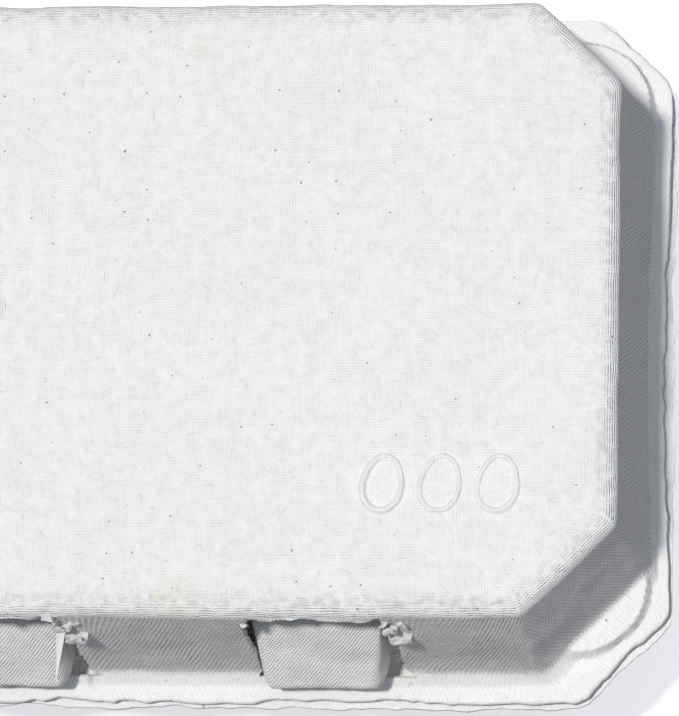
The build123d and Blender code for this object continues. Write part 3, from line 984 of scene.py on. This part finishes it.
def trayHeight(x, y):
    # the web's height, lowered by six tapering cups and raised by ridges, posts and half posts
    keep = trayShape
    half, front, back = bandSides(webTop, keep["bandPulp"])[:3]
    z = np.full_like(x, webTop)
    joint, row = keep["columnJoint"], keep["rowJoint"]

    def crest(away, start, end, along):
        side = np.clip(1 - (away / (keep["ridgeWidth"] * 0.75)) ** 2, 0, 1) ** 1.2
        return keep["ridgeHeight"] * side * (along > start) * (along < end)

    acrossBox = np.maximum(crest(x - joint, front, back, y), crest(x + joint, front, back, y))
    z = z + np.maximum(crest(y - row, -half, half, x), acrossBox)
    slope = 1 / math.tan(math.radians(keep["cupDraft"]))
    for columnSign in (-1, 0, 1):
        for rowSign in (-1, 1):
            centreX = columnSign * (joint + half) / 2
            centreY = row + rowSign * (back - front) / 4
            away = roundedSquare(x - centreX, y - centreY, keep["cupMouth"] / 2, keep["cupRound"])
            bowl = webTop - slope * np.maximum(-away, -6.0)
            bowl = softHigh(bowl, np.full_like(x, keep["floor"]), keep["floorBlend"])
            bowl = np.where(away > 3.0, webTop + 40.0, bowl)
            z = softLow(z, bowl, keep["cupBlend"])

    def cone(away, footRadius, topRadius, top):
        rise = (top - webTop) / (footRadius - topRadius)
        return softLow(webTop + (footRadius - away) * rise, np.full_like(away, top), keep["coneBlend"])

    for sign in (-1, 1):
        away = np.hypot(x - sign * joint, y - row)
        post = cone(away, keep["postFoot"], keep["postTopRadius"], keep["postTop"])
        z = softHigh(z, post, keep["postBlend"])
        for centre in ((sign * joint, front), (sign * joint, back), (sign * half, row)):
            away = np.hypot(x - centre[0], y - centre[1])
            post = cone(away, keep["halfPostFoot"], keep["halfPostTopRadius"], keep["halfPostTop"])
            z = softHigh(z, post, keep["halfPostBlend"])
    return z


def buildCups():
    # the height over each place of a square grid, kept inside the band's foot line
    keep = trayShape
    x = np.arange(-71.25, 71.3, keep["step"])
    y = np.arange(-47.25, 49.6, keep["step"])
    gridX, gridY = np.meshgrid(x, y)
    z = np.clip(trayHeight(gridX, gridY), keep["floor"], keep["postTop"])
    room = insideBand(gridX, gridY)
    # places on a half post's cut side lean out with the band
    lean = math.tan(math.radians(keep["bandDraft"])) * np.maximum(z - webTop, 0) * smooth(1 - room / 5)
    sideways = room - insideBand(gridX + 0.01, gridY)
    endways = room - insideBand(gridX, gridY + 0.01)
    grid = np.stack([gridX + lean * sideways / 0.01, gridY + lean * endways / 0.01, z], 2)
    normal = normalsOf(grid, False)
    uneven = np.minimum(layered(grid, keep["seed"] + 5, (0.12, 20), (0.05, 6)) - 0.16, -0.01)
    fade = np.where(z < keep["floor"] + 1.0, 0.25, 1.0)
    grid += normal * (uneven * fade)[:, :, None]
    cell = room[:-1, :-1] + room[1:, 1:] + room[1:, :-1] + room[:-1, 1:]
    faces = cell / 4 > -0.9
    places = np.stack([gridX, gridY], 2)
    steep = np.cumsum(np.abs(np.diff(z, axis=0, prepend=z[:1])), axis=0)
    places[:, :, 1] += 0.35 * steep
    cups = gridPiece("trayCups", grid, places, False, faces)
    thicken(cups, keep["pulp"], 0, even=False)
    return cups


trayRim = buildTrayRim()
settle(trayRim, "base", ["base_rim", "band_front", "band_back", "band_left", "band_right"], basePulp)
trayCups = buildCups()
cupNodes = [f"egg_cup_{end}_{column}" for end in ("front", "back") for column in ("left", "middle", "right")]
cupNodes += ["centre_post_left", "centre_post_right", "ridge_middle"]
places = [f"{end}_{side}" for end in ("front", "back", "end") for side in ("left", "right")]
cupNodes += [f"{kind}_{place}" for kind in ("half_post", "ridge") for place in places]
settle(trayCups, "base", cupNodes, basePulp)
print("tray made:", len(trayCups.data.polygons), "faces")


# living hinges
foldShape = {"skin": 0.8, "turns": 16, "endTrim": 4.0, "seed": 91}


def buildRearFold():
    # half a circle about the rims' back edge, a little uneven, swept along the box
    keep = foldShape
    low, high = boxMm("lid_hinge_fold")
    radius = (high[2] - low[2]) / 2 - 0.05
    axisY, axisZ = baseRimHigh[1], rimJoint
    x = np.linspace(low[0] + keep["endTrim"], high[0] - keep["endTrim"], 150)
    angle = np.linspace(-math.pi / 2, math.pi / 2, keep["turns"])
    gridX, turn = np.meshgrid(x, angle)
    points = np.stack([gridX, turn, np.zeros_like(turn)], 2)
    coarse = 0.10 * lumps(points * (1, 4, 1), 6, keep["seed"])
    fine = 0.05 * lumps(points * (1, 3, 1), 2, keep["seed"] + 1)
    r = radius - 0.12 + np.minimum(coarse + fine, 0.12)
    grid = np.stack([gridX, axisY + r * np.cos(turn), axisZ + r * np.sin(turn)], 2)
    fold = gridPiece("rearFold", grid[:, ::-1], np.stack([gridX[:, ::-1], turn * radius], 2), False)
    thicken(fold, keep["skin"], 0.15)
    return fold


def buildFlapFold():
    # a short flat strip standing between the base's rim and the flap's foot, a little uneven
    keep = foldShape
    low, high = boxMm("flap_hinge_fold")
    x = np.linspace(low[0], high[0], 120)
    z = np.linspace(low[2], high[2], 6)
    gridX, gridZ = np.meshgrid(x, z)
    grid = np.stack([gridX, np.full_like(gridX, low[1]), gridZ], 2)
    grid[:, :, 1] += 0.05 * (1 + lumps(grid, 5, keep["seed"] + 2))
    fold = gridPiece("flapFold", grid, np.stack([gridX, gridZ], 2), False)
    thicken(fold, keep["skin"], 0.1)
    return fold


rearFold = buildRearFold()
settle(rearFold, None, ["lid_hinge_fold"], basePulp)
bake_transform(rearFold)
flapFold = buildFlapFold()
settle(flapFold, None, ["flap_hinge_fold"], basePulp)
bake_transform(flapFold)
print("folds made")


# raised egg outlines
motifShape = {
    "halfWidth": 3.4,
    "bluntEnd": 3.9,
    "slimEnd": 5.3,
    "line": 1.1,
    "lean": -10.0,  # degrees
    "spacing": 8.4,
    "height": 0.42,
    "sunk": 0.32,  # how far the lines' feet go into the lid
    "skin": 0.25,
}


def buildMotif():
    # rings round two half ellipses, with a crest across the line that is a cosine to the power 1.5
    keep = motifShape
    low, high = boxMm("lid_motif")
    middle = (low + high) / 2
    turn = np.linspace(0, 2 * np.pi, 96, endpoint=False)
    across = np.linspace(-1, 1, 11)
    lean = math.radians(keep["lean"])
    rings = []
    for index in (-1, 0, 1):
        length = np.where(np.sin(turn) > 0, keep["slimEnd"], keep["bluntEnd"])
        inset = keep["line"] / 2 - across[:, None] * keep["line"] * 0.68
        x = (keep["halfWidth"] - inset) * np.cos(turn)
        y = (length - inset) * np.sin(turn) - (keep["slimEnd"] - keep["bluntEnd"]) / 2
        crest = (np.cos(across * math.pi / 2) ** 1.5)[:, None]
        z = lidTop - keep["sunk"] + (keep["sunk"] + keep["height"]) * crest + 0 * x
        gridX = middle[0] + index * keep["spacing"] + x * math.cos(lean) - y * math.sin(lean)
        gridY = middle[1] + x * math.sin(lean) + y * math.cos(lean)
        grid = np.stack([gridX, gridY, z], 2)[::-1]
        grid[:, :, 2] += np.minimum(0.05 * lumps(grid, 2.5, 7) * (grid[:, :, 2] > lidTop), 0.06)
        closedPlaces = np.concatenate([grid, grid[:, :1]], 1)[:, :, :2]
        ring = gridPiece(f"ring{index + 1}", grid, closedPlaces, True)
        giveSkin(ring, keep["skin"])
        rings.append(ring)
    motif = joinPieces("eggMotif", rings)
    shade(motif)
    return motif


eggMotif = buildMotif()
settle(eggMotif, "lid", ["lid_motif"], motifPulp)
print("motif made")


# torn shreds at the slots
shredShape = {
    "skin": 0.45,
    "seed": 17,
    # sideways place from the slot's middle, height, length, width, curl in turns, lean in degrees
    "shreds": [
        (8.7, 66.0, 3.4, 1.5, 0.40, 58),
        (10.0, 65.0, 6.0, 2.2, 0.60, 14),
        (11.9, 62.6, 9.0, 3.6, 0.58, -4),
        (12.4, 65.6, 3.0, 1.8, 0.50, -40),
        (-10.8, 65.6, 3.2, 1.5, 0.50, -50),
    ],
}


def buildShreds():
    # ribbons that curl up: the middle line is a spiral, the width runs across it, both roughened
    keep = shredShape
    ribbons = []
    for side in (-1, 1):
        for across, height, length, width, curl, lean in keep["shreds"]:
            count = len(ribbons) + 1
            rng = np.random.default_rng(keep["seed"] + count)
            t, s = np.meshgrid(np.linspace(0, 1, 26), np.linspace(-1, 1, 9))
            turn = 2 * math.pi * curl * rng.uniform(0.8, 1.2) * t
            radius = length / (2 * math.pi * curl) * (1 - 0.5 * t)
            out = radius * (1 - np.cos(turn))
            down = radius * np.sin(turn)
            w = width / 2 * (1 - 0.45 * t ** 2) * s
            angle = math.radians(lean + rng.uniform(-12, 12))
            localX = w * math.cos(angle) + down * math.sin(angle)
            localZ = -down * math.cos(angle) + w * math.sin(angle)
            wallY = frontWallLow[1] + (height - lidFoot) * wallSlope
            grid = np.stack([side * lugX + across + localX, wallY + 0.9 - out, height + localZ], 2)
            for axis in range(3):
                crumple = lumps(grid, 1.9, keep["seed"] + 40 * axis + count)
                grid[:, :, axis] += 0.16 * crumple * (0.3 + 0.7 * t)
            ribbon = gridPiece(f"shred{count}", grid, np.stack([t * length, w], 2), False)
            giveSkin(ribbon, keep["skin"], offset=0)
            ribbons.append(ribbon)
    shreds = joinPieces("slotShreds", ribbons)
    shade(shreds, 60)
    return shreds


slotShreds = buildShreds()
settle(slotShreds, "lid", [], tornPulp)
print("shreds made")


# camera, floor and light
view = {
    "place": (93.1, -135.3, 639.0),  # mm
    "turn": (11.79, 5.51, 1.16),  # degrees
    "lens": 201.218,  # mm
    "sensor": 36.0,
    "shift": (-0.084497, 0.086592),
}
camera = bpy.data.cameras.new("camera")
camera.sensor_width = view["sensor"]
camera.lens = view["lens"]
camera.shift_x, camera.shift_y = view["shift"]
camera.clip_start = 0.01
camera.clip_end = 20
viewer = bpy.data.objects.new("viewer", camera)
viewer.location = [v * metre for v in view["place"]]
viewer.rotation_euler = [math.radians(v) for v in view["turn"]]
bpy.context.scene.collection.objects.link(viewer)
bpy.context.scene.camera = viewer

lightPlan = {
    "sunPower": 2.55,
    "sunSoftness": 4.5,
    "fromLeft": 0.205,  # the sun's slopes, sideways for each unit of height
    "fromFront": 0.07,
    "overheadPower": 0.8,
    "overheadSoftness": 70.0,  # degrees
    "overheadTilt": 16.0,  # towards the right
    "skyPower": 0.105,
    "skyTone": (0.80, 0.86, 1.0),
    "sunTone": (1.0, 0.99, 0.965),
    "floorHalf": 3.0,  # metres
    "floorPaint": 0.93,
    "floorLift": 0.55,  # how much the floor glows to the camera, which keeps its shadows pale
    "floorBounce": 0.30,  # how bright the floor is to the light that it throws back
}


def buildStudio():
    plan = lightPlan
    mesh = bpy.data.meshes.new("floor")
    far = plan["floorHalf"]
    mesh.from_pydata([(-far, -far, 0), (far, -far, 0), (far, far, 0), (-far, far, 0)], [], [(0, 1, 2, 3)])
    floor = bpy.data.objects.new("floor", mesh)
    bpy.context.scene.collection.objects.link(floor)
    paint = bpy.data.materials.new("floorPaint")
    paint.use_nodes = True
    shader = paint.node_tree.nodes["Principled BSDF"]
    shader.inputs["Roughness"].default_value = 0.9
    seen = paint.node_tree.nodes.new("ShaderNodeLightPath").outputs["Is Camera Ray"]
    shown = (plan["floorPaint"],) * 3 + (1,)
    thrown = (plan["floorBounce"],) * 3 + (1,)
    glow = blendColour(paint.node_tree, seen, (0, 0, 0, 1), (1, 1, 1, 1))
    connect(paint.node_tree, shader.inputs["Base Color"], blendColour(paint.node_tree, seen, thrown, shown))
    connect(paint.node_tree, shader.inputs["Emission Color"], glow)
    shader.inputs["Emission Strength"].default_value = plan["floorLift"]
    mesh.materials.append(paint)
    sun = bpy.data.lights.new("sun", "SUN")
    sun.energy = plan["sunPower"]
    sun.angle = math.radians(plan["sunSoftness"])
    sun.color = plan["sunTone"]
    lamp = bpy.data.objects.new("sun", sun)
    lamp.rotation_euler = (math.atan(plan["fromFront"]), -math.atan(plan["fromLeft"]), 0)
    bpy.context.scene.collection.objects.link(lamp)
    fill = bpy.data.lights.new("overhead", "SUN")
    fill.energy = plan["overheadPower"]
    fill.angle = math.radians(plan["overheadSoftness"])
    fill.color = plan["skyTone"]
    overhead = bpy.data.objects.new("overhead", fill)
    overhead.rotation_euler = (0, math.radians(plan["overheadTilt"]), 0)
    bpy.context.scene.collection.objects.link(overhead)
    world = bpy.data.worlds.new("studio")
    world.use_nodes = True
    world.node_tree.nodes["Background"].inputs["Color"].default_value = (*plan["skyTone"], 1)
    world.node_tree.nodes["Background"].inputs["Strength"].default_value = plan["skyPower"]
    bpy.context.scene.world = world
    bpy.context.scene.view_settings.view_transform = "Standard"


buildStudio()
print("studio made")
